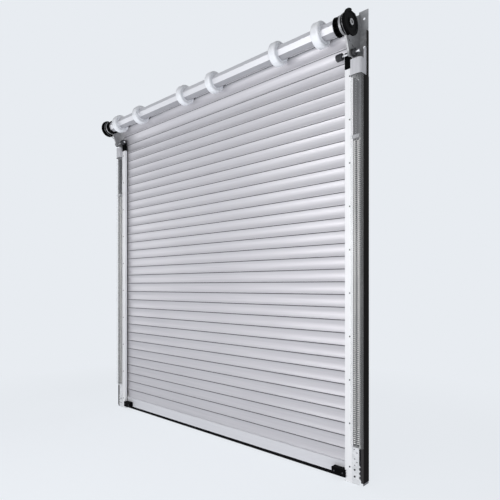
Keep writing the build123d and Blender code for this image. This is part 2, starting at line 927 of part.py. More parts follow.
def all_slats():
    slats = []
    for index in range(straight_slats):
        last = index == straight_slats - 1
        slats.append(slat(index, bent_tongue_height if last else tongue_height))
    for index in range(leaning_slats):
        last = index == leaning_slats - 1
        slats.append(leaning_slat(index, 0 if last else tongue_height))
    return slats


def bottom_rail():
    """A hollow bar with a tongue that holds the lowest slat."""
    front, back = curtain_y - slat_depth / 2, curtain_y + slat_depth / 2
    top = rail_top - slat_joint_gap
    bar = block(-slat_half_length, slat_half_length, front, back, seal_height, top)
    end = slat_half_length + overrun
    bar -= block(-end, end, front + rail_wall, back - rail_wall, seal_height + rail_wall, top - rail_wall)
    body = slat_depth - slat_bead - slat_sag
    middle = front + slat_bead + body / 2
    half = tongue_width / 2
    return bar + block(
        -slat_half_length, slat_half_length, middle - half, middle + half, top, top + tongue_height
    )


def bottom_seal():
    """A rubber strip with two lips and a rounded foot."""
    half = seal_thickness / 2
    foot = seal_tip_radius
    section = make_face(
        Curve()
        + [
            Polyline((-foot, foot), (-foot, seal_height / 2), (-half, seal_height - seal_lip)),
            Polyline((-half, seal_height - seal_lip), (-half, seal_height), (half, seal_height)),
            Polyline((half, seal_height), (half, seal_height - seal_lip), (foot, seal_height / 2)),
            Line((foot, seal_height / 2), (foot, foot)),
            ThreePointArc((foot, foot), (0, 0), (-foot, foot)),
        ]
    )
    end = guide_inner - slat_liner_gap
    return Pos(0, curtain_y, 0) * across(section, -end, end)


def end_block():
    """The black block on the rail's front, which runs in front of the guide."""
    back = curtain_y - slat_depth / 2
    face = guide_front - end_block_proud
    right = end_block_end
    top = end_block_bottom + end_block_height
    body = block(end_block_start, right, face, back, end_block_bottom, top)
    body = fillet(body.edges().filter_by(Axis.Y), end_block_round)
    relief = block(
        guide_inner - end_block_gap,
        right + overrun,
        guide_front - end_block_gap,
        back + overrun,
        end_block_bottom - overrun,
        top + overrun,
    )
    return body - relief


def end_block_screw(x):
    face = guide_front - end_block_proud
    z = end_block_bottom + end_block_height / 2
    head = pin(end_block_screw_radius, x, z, face - end_block_screw_height, face)
    return fillet(head.edges().group_by(Axis.Y)[0], end_block_screw_height / 2)


def hanger_strap(x):
    """A clip on the top slat that lies against a winding ring."""
    touch = shaft_y + ring_radius + strap_ring_gap
    inner = touch + strap_thickness
    top = leaning_slats * slat_pitch - slat_joint_gap
    front = -slat_depth / 2 + slat_bead
    near_y, near_z = lean(front, top)
    far_y, far_z = lean(front + slat_depth - slat_bead - slat_sag, top)
    outline = make_face(
        Polyline(
            (touch, near_z - strap_drop),
            (inner, near_z - strap_drop),
            (inner, near_z),
            (near_y, near_z),
            (far_y, far_z),
            (far_y, far_z + strap_thickness),
            (inner, far_z + strap_thickness),
            (inner, far_z + strap_rise),
            (touch, far_z + strap_rise),
            close=True,
        )
    )
    return across(outline, x - strap_width / 2, x + strap_width / 2)


def main():
    os.makedirs("parts", exist_ok=True)
    single = {
        "side_cover": side_cover,
        "spring_cover": spring_cover,
        "anchor_plate": anchor_plate,
        "upper_housing": upper_housing,
        "console": console,
        "shaft_bearing": shaft_bearing,
        "roller_axle": roller_axle,
        "inlet_block": inlet_block,
        "rope": rope,
        "inlet_roller": inlet_roller,
        "rope_pulley": rope_pulley,
        "spring_head": spring_head,
        "end_hub": end_hub,
        "axle_stub": axle_stub,
        "rope_drum": rope_drum,
        "end_block": end_block,
    }
    for name, build in single.items():
        shape = build()
        for side, sign in sides:
            write(on_side(shape, sign), f"{name}_{side}")
    several = {
        "guide_rail": guide_rail(),
        "spring_channel": spring_channel(),
        "slide_liner": slide_liner(),
        "spring": [spring(spring_mid - spring_offset), spring(spring_mid + spring_offset)],
    }
    for name, solids in several.items():
        for side, sign in sides:
            write(group(on_side(solid, sign) for solid in solids), f"{name}_{side}")

    rail_heads = [rail_screw(z) for z in screw_heights()]
    anchor_heads = [anchor_bolt(x, z) for x, z in anchor_places(anchor_bolt_shares)]
    bearing_heads = [bearing_screw(y, z) for y, z in bearing_screw_places()]
    block_heads = [
        end_block_screw(x)
        for x in (
            end_block_start + end_block_screw_inset,
            end_block_end - end_block_screw_inset,
        )
    ]
    fasteners = {
        "rail_screws": rail_heads,
        "anchor_bolts": anchor_heads,
        "bearing_screws": bearing_heads,
        "end_block_screws": block_heads,
    }
    for name, heads in fasteners.items():
        write(group(on_side(head, sign) for _, sign in sides for head in heads), name)

    write(octagonal_tube(), "octagonal_tube")
    places = sorted([-x for x in ring_places] + list(ring_places))
    for index, x in enumerate(places):
        write(winding_ring(x), f"winding_ring_{index + 1}")
    write(group(hanger_strap(x) for x in places), "hanger_straps")

    write(bottom_rail(), "bottom_rail")
    write(bottom_seal(), "bottom_seal")
    slats = all_slats()
    for index in range(0, len(slats), slats_in_band):
        write(group(slats[index : index + slats_in_band]), f"slat_band_{index // slats_in_band + 1}")


main()
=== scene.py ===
"""Looks of a spring-balanced roll-up shutter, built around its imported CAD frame.

Metres. +X to the right, -Y towards the room, +Z up, with the origin on the floor at the
middle of the shutter. Every place on the shutter is worked out from the frame's own nodes.
"""

import functools
import json
import logging
import math
from collections.abc import Iterable, Mapping, Sequence
from dataclasses import dataclass, field
from enum import Enum
from typing import Any

import bpy
import numpy as np
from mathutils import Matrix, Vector

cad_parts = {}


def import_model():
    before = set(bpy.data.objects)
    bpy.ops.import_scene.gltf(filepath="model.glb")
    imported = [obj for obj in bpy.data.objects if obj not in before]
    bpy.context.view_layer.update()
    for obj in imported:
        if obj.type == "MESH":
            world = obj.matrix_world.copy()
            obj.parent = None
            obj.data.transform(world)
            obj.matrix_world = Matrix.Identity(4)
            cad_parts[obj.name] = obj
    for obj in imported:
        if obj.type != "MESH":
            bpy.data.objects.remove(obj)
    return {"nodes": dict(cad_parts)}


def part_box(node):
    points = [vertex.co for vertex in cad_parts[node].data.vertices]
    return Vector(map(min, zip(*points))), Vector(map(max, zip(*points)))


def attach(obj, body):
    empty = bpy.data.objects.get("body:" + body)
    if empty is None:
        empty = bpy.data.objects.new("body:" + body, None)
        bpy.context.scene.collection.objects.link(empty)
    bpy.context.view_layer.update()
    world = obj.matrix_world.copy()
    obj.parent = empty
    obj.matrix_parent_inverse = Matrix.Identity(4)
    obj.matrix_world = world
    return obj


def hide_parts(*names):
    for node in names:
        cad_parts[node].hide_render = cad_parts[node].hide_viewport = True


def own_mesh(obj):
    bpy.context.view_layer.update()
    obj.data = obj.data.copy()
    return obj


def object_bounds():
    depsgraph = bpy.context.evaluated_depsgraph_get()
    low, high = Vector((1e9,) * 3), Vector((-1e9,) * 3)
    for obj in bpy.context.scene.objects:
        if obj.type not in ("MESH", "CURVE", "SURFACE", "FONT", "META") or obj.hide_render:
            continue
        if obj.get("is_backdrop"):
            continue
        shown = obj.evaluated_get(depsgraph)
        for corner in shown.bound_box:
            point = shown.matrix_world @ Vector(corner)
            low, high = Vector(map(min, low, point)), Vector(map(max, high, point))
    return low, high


log = logging.getLogger("shutter")

Point = tuple[float, float, float]
Colour = tuple[float, float, float]
Span = tuple[float, float]

MILLIMETRE = 0.001
SLATS_IN_BAND = 6
SLAT_LEAN = 20.0  # degrees, of the slats above the guides
SHARP_ANGLE = 40.0  # degrees, the least angle of a sharp edge
NEARLY_PARALLEL = 0.1  # the sine of the angle below which two ways count as one
NOISE_ROUGHNESS = 0.55
PHOTO_SIZE = 500  # pixels

# The sockets of a Mix node that is set to colours.
MIX_FACTOR, MIX_FIRST, MIX_SECOND, MIX_RESULT = 0, 6, 7, 2


class Side(Enum):
    """The two ends of the shutter."""

    RIGHT = 1
    LEFT = -1

    @property
    def word(self) -> str:
        """The side's name as the frame's nodes end."""
        return self.name.lower()


def linear(red: int, green: int, blue: int) -> Colour:
    """Turns a written screen colour into the linear one that a shader takes.

    Args:
        red: Red from 0 to 255.
        green: Green from 0 to 255.
        blue: Blue from 0 to 255.

    Returns:
        The three linear channels.
    """

    def channel(value: int) -> float:
        """One channel of the sRGB curve."""
        share = value / 255
        return share / 12.92 if share <= 0.04045 else ((share + 0.055) / 1.055) ** 2.4

    return channel(red), channel(green), channel(blue)


class Socket:
    """A shader output that can be used in Python sums."""

    def __init__(self, nodes: "Nodes", output: bpy.types.NodeSocket) -> None:
        """Wraps one output.

        Args:
            nodes: The tree that the output belongs to.
            output: The output itself.
        """
        self.nodes = nodes
        self.output = output

    def _math(self, operation: str, *values: "Socket | float") -> "Socket":
        """Adds one Math node.

        Args:
            operation: What it works out.
            *values: Its values, in the order of its sockets.

        Returns:
            The result.
        """
        settings = {"operation": operation}
        return self.nodes.node("ShaderNodeMath", settings, dict(enumerate(values)))

    def __add__(self, other: "Socket | float") -> "Socket":
        """Self plus other."""
        return self._math("ADD", self, other)

    def __radd__(self, other: float) -> "Socket":
        """Other plus self."""
        return self._math("ADD", other, self)

    def __sub__(self, other: "Socket | float") -> "Socket":
        """Self less other."""
        return self._math("SUBTRACT", self, other)

    def __rsub__(self, other: float) -> "Socket":
        """Other less self."""
        return self._math("SUBTRACT", other, self)

    def __mul__(self, other: "Socket | float") -> "Socket":
        """Self times other."""
        return self._math("MULTIPLY", self, other)

    def __rmul__(self, other: float) -> "Socket":
        """Other times self."""
        return self._math("MULTIPLY", other, self)

    def __truediv__(self, other: "Socket | float") -> "Socket":
        """Self over other."""
        return self._math("DIVIDE", self, other)

    def __rtruediv__(self, other: float) -> "Socket":
        """Other over self."""
        return self._math("DIVIDE", other, self)

    def __pow__(self, other: "Socket | float") -> "Socket":
        """Self to a power."""
        return self._math("POWER", self, other)

    def __neg__(self) -> "Socket":
        """Self with its sign turned."""
        return self._math("MULTIPLY", self, -1.0)

    def above(self, limit: "Socket | float") -> "Socket":
        """Compares the value with a limit.

        Args:
            limit: The limit.

        Returns:
            One where the value is over the limit, else nought.
        """
        return self._math("GREATER_THAN", self, limit)

    def most(self, other: "Socket | float") -> "Socket":
        """Picks the larger of two values.

        Args:
            other: The other value.

        Returns:
            The larger one.
        """
        return self._math("MAXIMUM", self, other)

    def fraction(self) -> "Socket":
        """What is left of the value over its whole part."""
        return self._math("FRACT", self)

    def wave(self) -> "Socket":
        """The sine of the value, raised and halved to run from nought to one."""
        return self._math("SINE", self) * 0.5 + 0.5

    def clipped(self) -> "Socket":
        """The value held between nought and one."""
        settings = {"operation": "ADD", "use_clamp": True}
        return self.nodes.node("ShaderNodeMath", settings, {0: self, 1: 0.0})

    def spread(self, low: float, high: float) -> "Socket":
        """Stretches the value and holds it between nought and one.

        Args:
            low: The value that gives nought.
            high: The value that gives one.

        Returns:
            The stretched value.
        """
        return ((self - low) / (high - low)).clipped()

    def weighed(self, other: "Socket", share: float) -> "Socket":
        """Takes a weighed mean of two values.

        Args:
            other: The other value.
            share: The weight of this value, of one. The other has the rest.

        Returns:
            The mean.
        """
        return self * share + other * (1 - share)


@dataclass(frozen=True)
class Noise:
    """One noise: its waves for each metre along the three axes, and its finer layers."""

    scale: Point
    detail: float = 3.0


class Nodes:
    """A node tree that is built from Python."""

    def __init__(self, tree: bpy.types.NodeTree) -> None:
        """Starts with an empty tree.

        Args:
            tree: The tree, which loses the nodes that it came with.
        """
        self.tree = tree
        self.tree.nodes.clear()

    def node(
        self,
        kind: str,
        settings: Mapping[str, Any] | None = None,
        inputs: Mapping[str | int, Any] | None = None,
        output: str | int = 0,
    ) -> Socket | None:
        """Adds a node.

        Args:
            kind: Blender's name of the node's type.
            settings: Its own settings, set before its sockets.
            inputs: Values or links of its sockets, by name or number.
            output: The output to hand back.

        Returns:
            The chosen output, or None from a node that closes the tree.
        """
        made = self.tree.nodes.new(kind)
        for key, value in (settings or {}).items():
            setattr(made, key, value)
        for key, value in (inputs or {}).items():
            socket = made.inputs[key]
            if isinstance(value, Socket):
                self.tree.links.new(value.output, socket)
            elif isinstance(value, tuple) and socket.type == "RGBA":
                socket.default_value = (*value, 1.0)
            else:
                socket.default_value = value
        return Socket(self, made.outputs[output]) if made.outputs else None


class Shader(Nodes):
    """One material's node tree."""

    def __init__(self, name: str) -> None:
        """Starts an empty material.

        Args:
            name: The material's name.
        """
        self.material = bpy.data.materials.new(name)
        self.material.use_nodes = True
        super().__init__(self.material.node_tree)

    def place(self) -> Socket:
        """Where the shaded point is, in the frame's metres."""
        return self.node("ShaderNodeTexCoord", output="Object")

    def axis(self, name: str) -> Socket:
        """Takes one coordinate of the place.

        Args:
            name: The axis: X, Y or Z.

        Returns:
            The coordinate in metres.
        """
        return self.node("ShaderNodeSeparateXYZ", inputs={0: self.place()}, output=name)

    def facing(self, name: str) -> Socket:
        """Takes one coordinate of the surface's normal.

        Args:
            name: The axis: X, Y or Z.

        Returns:
            The coordinate, from -1 to 1.
        """
        normal = self.node("ShaderNodeTexCoord", output="Normal")
        return self.node("ShaderNodeSeparateXYZ", inputs={0: normal}, output=name)

    def noise(self, noise: Noise) -> Socket:
        """Smooth noise from nought to one.

        Args:
            noise: Its scale and detail.

        Returns:
            The noise.
        """
        stretch = {0: self.place(), 1: noise.scale}
        place = self.node("ShaderNodeVectorMath", {"operation": "MULTIPLY"}, stretch)
        inputs = {"Scale": 1.0, "Detail": noise.detail, "Roughness": NOISE_ROUGHNESS}
        return self.node("ShaderNodeTexNoise", inputs=inputs | {"Vector": place})

    def cells(self, scale: float) -> Socket:
        """A random grey for each cell of a broken-up surface.

        Args:
            scale: Cells for each metre.

        Returns:
            The grey.
        """
        inputs = {"Vector": self.place(), "Scale": scale}
        colour = self.node("ShaderNodeTexVoronoi", inputs=inputs, output="Color")
        return self.node("ShaderNodeSeparateColor", inputs={0: colour})

    def blend(self, factor: Socket, first: Socket | Colour, second: Socket | Colour) -> Socket:
        """Mixes two colours.

        Args:
            factor: Nought for the first colour, one for the second.
            first: The first colour.
            second: The second colour.

        Returns:
            The mixed colour.
        """
        settings = {"data_type": "RGBA", "clamp_factor": True}
        inputs = {MIX_FACTOR: factor, MIX_FIRST: first, MIX_SECOND: second}
        return self.node("ShaderNodeMix", settings, inputs, MIX_RESULT)

    def bump(self, height: Socket, depth: float) -> Socket:
        """Raises the surface's normal.

        Args:
            height: The height, from nought to one.
            depth: What a height of one stands for, in metres.

        Returns:
            The normal.
        """
        inputs = {"Height": height, "Distance": depth, "Strength": 1.0}
        return self.node("ShaderNodeBump", inputs=inputs)

    def finish(self, **inputs: Any) -> bpy.types.Material:
        """Closes the material with a Principled surface.

        Args:
            **inputs: The surface's sockets, with underscores for spaces.

        Returns:
            The material.
        """
        named = {key.replace("_", " "): value for key, value in inputs.items()}
        surface = self.node("ShaderNodeBsdfPrincipled", inputs=named)
        self.node("ShaderNodeOutputMaterial", inputs={"Surface": surface})
        return self.material


@dataclass(frozen=True)
class Paint:
    """Baked paint on rolled or folded sheet, with faint roller streaks and dust."""

    name: str
    colour: Colour
    shade: Colour
    streaks: Noise = Noise((3.0, 120.0, 120.0), 4.0)
    clouds: Noise = Noise((1.7, 6.0, 1.9), 2.0)
    grains: Noise = Noise((900.0, 900.0, 900.0), 2.0)
    streak_share: float = 0.55
    wear_span: Span = (0.32, 0.72)
    roughness: float = 0.42
    worn_roughness: float = 0.16
    grain_roughness: float = 0.05
    peel_share: float = 0.6
    peel_depth: float = 0.06 * MILLIMETRE

    def material(self) -> bpy.types.Material:
        """Builds the material."""
        shader = Shader(self.name)
        streaks, clouds = shader.noise(self.streaks), shader.noise(self.clouds)
        grains = shader.noise(self.grains)
        wear = streaks.weighed(clouds, self.streak_share).spread(*self.wear_span)
        tone = shader.blend(wear, self.shade, self.colour)
        rough = self.roughness + self.worn_roughness * (1 - wear) + self.grain_roughness * grains
        normal = shader.bump(grains.weighed(streaks, self.peel_share), self.peel_depth)
        return shader.finish(Base_Color=tone, Roughness=rough, Normal=normal)


@dataclass(frozen=True)
class SlatPaint:
    """The curtain's paint, with painted shadow in each joint, painted shade towards both edges of
    each slat and a painted highlight along each slat's lower edge.

    The shares are parts of a slat's height.
    """

    name: str
    colour: Colour
    shade: Colour
    # Painted shadow in the joints, also used for the painted shade towards the slats' edges.
    joint: Colour
    # Painted highlight along the lower edge of each slat.
    edge: Colour
    streaks: Noise = Noise((2.2, 90.0, 130.0), 4.0)
    clouds: Noise = Noise((1.5, 5.0, 1.7), 2.0)
    grains: Noise = Noise((900.0, 900.0, 900.0), 2.0)
    streak_share: float = 0.6
    wear_span: Span = (0.3, 0.7)
    # Height of the painted highlight, and how much the streaks break it up.
    edge_share: float = 0.05
    highlight_streaking: float = 0.4
    shadow_share: float = 0.055
    # Strength of the painted shade towards both edges of each slat.
    edge_shade: float = 0.12
    metallic: float = 0.4
    roughness: float = 0.36
    clouded_roughness: float = 0.1
    grain_roughness: float = 0.05
    peel_share: float = 0.6
    peel_depth: float = 0.06 * MILLIMETRE

    def material(self) -> bpy.types.Material:
        """Builds the material."""
        shader = Shader(self.name)
        along = self._along(shader)
        streaks, clouds = shader.noise(self.streaks), shader.noise(self.clouds)
        grains = shader.noise(self.grains)
        wear = streaks.weighed(clouds, self.streak_share).spread(*self.wear_span)
        tone = shader.blend(wear, self.shade, self.colour)
        # Painted highlight: the lowest part of each slat lightens to the edge colour, broken up by
        # the streaks.
        edge = 1 - along.spread(0.0, self.edge_share)
        streaked_mask = edge * (1 - self.highlight_streaking + self.highlight_streaking * streaks)
        tone = shader.blend(streaked_mask, tone, self.edge)
        # Painted shade: darker towards both the top and the bottom of each slat.
        from_middle = along * 2 - 1
        edge_shade = (from_middle * from_middle * self.edge_shade).clipped()
        tone = shader.blend(edge_shade, tone, self.joint)
        # Painted shadow: the top of each slat, under the joint above it, darkens to the joint
        # colour.
        dark = along.spread(1 - 2 * self.shadow_share, 1 - self.shadow_share)
        tone = shader.blend(dark * dark, tone, self.joint)
        rough = self.roughness + self.clouded_roughness * (1 - clouds)
        rough = rough + self.grain_roughness * grains
        normal = shader.bump(grains.weighed(streaks, self.peel_share), self.peel_depth)
        return shader.finish(
            Base_Color=tone, Metallic=self.metallic, Roughness=rough, Normal=normal
        )

    @staticmethod
    def _along(shader: Shader) -> Socket:
        """How far up its own slat a point is, from nought to one.

        Args:
            shader: The shader that needs it.

        Returns:
            The share, for the upright slats and for those that lean back above them.
        """
        first, second, last = (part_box(f"slat_band_{band}") for band in (1, 2, 6))
        pitch = (second[0].z - first[0].z) / SLATS_IN_BAND
        bend = last[0].z + pitch
        height = shader.axis("Z")
        upright = ((height - first[0].z) / pitch).fraction()
        leaning = ((height - bend) / (pitch * math.cos(math.radians(SLAT_LEAN)))).fraction()
        bent = height.above(bend)
        return upright * (1 - bent) + leaning * bent


@dataclass(frozen=True)
class CoverPaint:
    """Black paint, lightened to grey as painted light on the faces that look towards the room,
    varied by rubbing.
    """

    name: str
    # The side colour is the black paint; the front colour is painted light on faces towards the
    # room.
    side: Colour
    front: Colour
    rubbing: Noise = Noise((120.0, 120.0, 5.0), 4.0)
    grains: Noise = Noise((800.0, 800.0, 800.0), 2.0)
    front_span: Span = (0.5, 0.9)
    front_streaking: float = 0.4
    roughness: float = 0.5
    rubbed_roughness: float = 0.15
    grain_roughness: float = 0.05
    depth: float = 0.05 * MILLIMETRE
    specular: float = 0.04

    def material(self) -> bpy.types.Material:
        """Builds the material."""
        shader = Shader(self.name)
        rubbed, grains = shader.noise(self.rubbing), shader.noise(self.grains)
        # Painted light: faces towards the room lighten to the front colour.
        front = (-shader.facing("Y")).spread(*self.front_span)
        streaked_mask = front * (1 - self.front_streaking + self.front_streaking * rubbed)
        tone = shader.blend(streaked_mask, self.side, self.front)
        rough = self.roughness + self.rubbed_roughness * rubbed + self.grain_roughness * grains
        return shader.finish(
            Base_Color=tone,
            Roughness=rough,
            Normal=shader.bump(grains, self.depth),
            Specular_IOR_Level=self.specular,
        )


@dataclass(frozen=True)
class StubSteel:
    """Turned steel whose end has a dark disc inside its bright ring: painted shade standing in for
    a bore.
    """

    name: str
    ring: Colour
    # Painted shade of the bore.
    bore_shade: Colour
    bore_radius: float = 7.5 * MILLIMETRE
    groove_width: float = 1.2 * MILLIMETRE
    groove_depth: float = 0.1 * MILLIMETRE
    metallic: float = 0.6
    roughness: float = 0.32
    groove_roughness: float = 0.1

    def material(self) -> bpy.types.Material:
        """Builds the material."""
        shader = Shader(self.name)
        low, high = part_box("axle_stub_right")
        across = shader.axis("Y") - (low.y + high.y) / 2
        up = shader.axis("Z") - (low.z + high.z) / 2
        radius = (across * across + up * up) ** 0.5
        grooves = (radius * (2 * math.pi / self.groove_width)).wave()
        # Painted shade: a dark disc inside the bore's radius.
        tone = shader.blend(radius.above(self.bore_radius), self.bore_shade, self.ring)
        return shader.finish(
            Base_Color=tone,
            Metallic=self.metallic,
            Roughness=self.roughness + self.groove_roughness * grooves,
            Normal=shader.bump(grooves, self.groove_depth),
        )


@dataclass(frozen=True)
class Plated:
    """Zinc-plated or bright steel with drawn lines and faint spangles."""

    name: str
    colour: Colour
    shade: Colour
    metallic: float = 0.75
    spangle: float = 0.25
    lines: Noise = Noise((14.0, 700.0, 700.0), 3.0)
    clouds: Noise = Noise((9.0, 9.0, 9.0), 3.0)
    flake_scale: float = 90.0
    line_share: float = 0.6
    cloud_share: float = 0.3
    wear_span: Span = (0.2, 0.8)
    roughness: float = 0.3
    flake_roughness: float = 0.18
    clouded_roughness: float = 0.14
    depth: float = 0.03 * MILLIMETRE

    def material(self) -> bpy.types.Material:
        """Builds the material."""
        shader = Shader(self.name)
        lines = shader.noise(self.lines)
        flakes = shader.cells(self.flake_scale) * self.spangle
        clouds = shader.noise(self.clouds)
        mix = lines * (self.line_share - self.spangle / 2) + flakes + clouds * self.cloud_share
        tone = shader.blend(mix.spread(*self.wear_span), self.shade, self.colour)
        rough = self.roughness + self.flake_roughness * flakes
        return shader.finish(
            Base_Color=tone,
            Metallic=self.metallic,
            Roughness=rough + self.clouded_roughness * (1 - clouds),
            Normal=shader.bump(lines, self.depth),
        )


@dataclass(frozen=True)
class TubeSteel:
    """Galvanised tube with painted shade on its upper flats, darker painted shade on its lower
    ones, and faint streaks.
    """

    name: str
    face: Colour
    # Painted shade for the upward flats, also the colour of the streaks.
    top_shade_and_streaks: Colour
    # Painted shade for the downward flats.
    underside_shade: Colour
    lines: Noise = Noise((6.0, 420.0, 420.0), 3.0)
    clouds: Noise = Noise((7.0, 12.0, 12.0), 3.0)
    top_shade_span: Span = (0.2, 0.3)
    underside_shade_span: Span = (0.6, 0.7)
    line_share: float = 0.6
    wear_span: Span = (0.35, 0.75)
    wear: float = 0.2
    metallic: float = 0.25
    roughness: float = 0.34
    clouded_roughness: float = 0.12
    depth: float = 0.03 * MILLIMETRE

    def material(self) -> bpy.types.Material:
        """Builds the material."""
        shader = Shader(self.name)
        lines, clouds = shader.noise(self.lines), shader.noise(self.clouds)
        rise = shader.facing("Z")
        # Painted shade: upward flats darker, downward flats darker still, by which way each flat
        # faces.
        tone = shader.blend(rise.spread(*self.top_shade_span), self.face, self.top_shade_and_streaks)
        tone = shader.blend((-rise).spread(*self.underside_shade_span), tone, self.underside_shade)
        # Faint streaks towards the colour of the upper flats.
        streaked_mask = lines.weighed(clouds, self.line_share).spread(*self.wear_span)
        tone = shader.blend(streaked_mask * self.wear, tone, self.top_shade_and_streaks)
        return shader.finish(
            Base_Color=tone,
            Metallic=self.metallic,
            Roughness=self.roughness + self.clouded_roughness * clouds,
            Normal=shader.bump(lines, self.depth),
        )


@dataclass(frozen=True)
class Moulded:
    """Moulded plastic or rubber with a fine eroded grain."""

    name: str
    colour: Colour
    shade: Colour
    roughness: float = 0.45
    specular: float = 0.5
    grains: Noise = Noise((1100.0, 1100.0, 1100.0), 2.0)
    flow: Noise = Noise((30.0, 45.0, 30.0), 3.0)
    flow_span: Span = (0.3, 0.7)
    flow_roughness: float = 0.14
    grain_roughness: float = 0.08
    grain_share: float = 0.7
    depth: float = 0.05 * MILLIMETRE

    def material(self) -> bpy.types.Material:
        """Builds the material."""
        shader = Shader(self.name)
        grains, flow = shader.noise(self.grains), shader.noise(self.flow)
        tone = shader.blend(flow.spread(*self.flow_span), self.shade, self.colour)
        rough = self.roughness + self.flow_roughness * (flow - 0.5)
        return shader.finish(
            Base_Color=tone,
            Roughness=rough + self.grain_roughness * grains,
            Normal=shader.bump(grains.weighed(flow, self.grain_share), self.depth),
            Specular_IOR_Level=self.specular,
        )


@dataclass(frozen=True)
class Clear:
    """Clear extruded plastic with faint lines along its length."""

    name: str
    colour: Colour
    haze_colour: Colour = (1.0, 1.0, 1.0)
    lines: Noise = Noise((420.0, 420.0, 2.0), 2.0)
    haze: Noise = Noise((6.0, 6.0, 2.5), 3.0)
    cover: float = 0.07
    cover_change: float = 0.06
    roughness: float = 0.1
    haze_roughness: float = 0.12
    depth: float = 0.05 * MILLIMETRE

    def material(self) -> bpy.types.Material:
        """Builds the material."""
        shader = Shader(self.name)
        lines, haze = shader.noise(self.lines), shader.noise(self.haze)
        cover = self.cover + self.cover_change * (lines - 0.5) + self.cover_change * (haze - 0.5)
        return shader.finish(
            Base_Color=shader.blend(haze, self.colour, self.haze_colour),
            Roughness=self.roughness + self.haze_roughness * haze,
            Alpha=cover,
            Normal=shader.bump(lines, self.depth),
        )


@dataclass(frozen=True)
class Stranded:
    """Steel wire rope: strands laid round the run."""

    name: str
    colour: Colour
    shade: Colour
    lay: float = 11 * MILLIMETRE
    dirt: Noise = Noise((300.0, 300.0, 60.0), 3.0)
    dirt_share: float = 0.5
    metallic: float = 0.7
    roughness: float = 0.38
    dirt_roughness: float = 0.2
    depth: float = 0.3 * MILLIMETRE

    def material(self) -> bpy.types.Material:
        """Builds the material."""
        shader = Shader(self.name)
        turns = 2 * math.pi / self.lay
        climb = shader.axis("Z") * turns + shader.axis("X") * turns + shader.axis("Y") * turns
        strand = climb.wave()
        dirt = shader.noise(self.dirt)
        bare = strand * (1 - self.dirt_share + self.dirt_share * dirt)
        return shader.finish(
            Base_Color=shader.blend(bare, self.shade, self.colour),
            Metallic=self.metallic,
            Roughness=self.roughness + self.dirt_roughness * dirt,
            Normal=shader.bump(strand, self.depth),
        )


class Finish(Enum):
    """The finishes of this shutter."""

    SLAT = SlatPaint(
        "slat_paint",
        colour=linear(205, 203, 207),
        shade=linear(192, 190, 195),
        # Painted light: the joint colour is painted shadow and shade, the edge colour a painted
        # highlight.
        joint=linear(84, 83, 87),
        edge=linear(226, 225, 229),
    )
    RAIL = Paint("rail_paint", linear(220, 220, 225), linear(211, 211, 216))
    WHITE = Paint(
        "guide_paint",
        linear(241, 241, 243),
        linear(231, 231, 234),
        streaks=Noise((120.0, 120.0, 3.0), 4.0),
    )
    GREY = Paint(
        "channel_paint",
        linear(132, 132, 136),
        linear(104, 104, 108),
        streaks=Noise((120.0, 120.0, 4.0), 4.0),
    )
    HOUSING = Paint(
        "housing_paint",
        linear(206, 206, 210),
        linear(186, 186, 191),
        streaks=Noise((90.0, 90.0, 8.0), 4.0),
    )
    # The second colour is painted light on the faces towards the room.
    BLACK_PAINT = CoverPaint("cover_paint", linear(10, 7, 7), linear(66, 65, 66))
    ZINC = Plated("zinc_plate", linear(170, 170, 172), linear(128, 129, 131), metallic=0.4)
    BRIGHT_ZINC = Plated("bright_zinc", linear(238, 238, 240), linear(205, 206, 208), metallic=0.3)
    # The second and third colours are painted shade on the tube's upper and lower flats.
    TUBE = TubeSteel(
        "tube_steel",
        face=linear(219, 219, 223),
        top_shade_and_streaks=linear(198, 198, 203),
        underside_shade=linear(164, 164, 169),
    )
    BRIGHT = Plated("bright_steel", linear(236, 236, 238), linear(212, 213, 216), spangle=0.05)
    DARK_STEEL = Plated("dark_steel", linear(92, 92, 95), linear(56, 56, 59), spangle=0.05)
    # The bore colour is painted shade.
    STUB = StubSteel("stub_steel", ring=linear(168, 168, 170), bore_shade=linear(18, 18, 19))
    SPRING = Plated(
        "spring_wire", linear(236, 235, 232), linear(206, 205, 202), metallic=0.35, spangle=0.05
    )
    BLACK = Moulded("black_plastic", linear(9, 9, 10), linear(4, 4, 5), 0.6, specular=0.04)
    SOFT_BLACK = Moulded("black_rubber", linear(13, 13, 14), linear(7, 7, 8), 0.62, specular=0.04)
    ROLLER = Moulded("roller_rubber", linear(66, 66, 69), linear(44, 44, 47), 0.5, specular=0.15)
    RING = Moulded("white_plastic", linear(234, 236, 240), linear(224, 226, 231), 0.4)
    CLEAR = Clear("clear_plastic", linear(214, 218, 222))
    ROPE = Stranded("wire_rope", linear(150, 150, 152), linear(62, 62, 64))

    @functools.cache
    def material(self) -> bpy.types.Material:
        """The finish's material, made once."""
        return self.value.material()


def dress(piece: bpy.types.Object, finish: Finish) -> None:
    """Gives an object one finish all over.

    Args:
        piece: The object.
        finish: Its finish.
    """
    piece.data.materials.clear()
    piece.data.materials.append(finish.material())


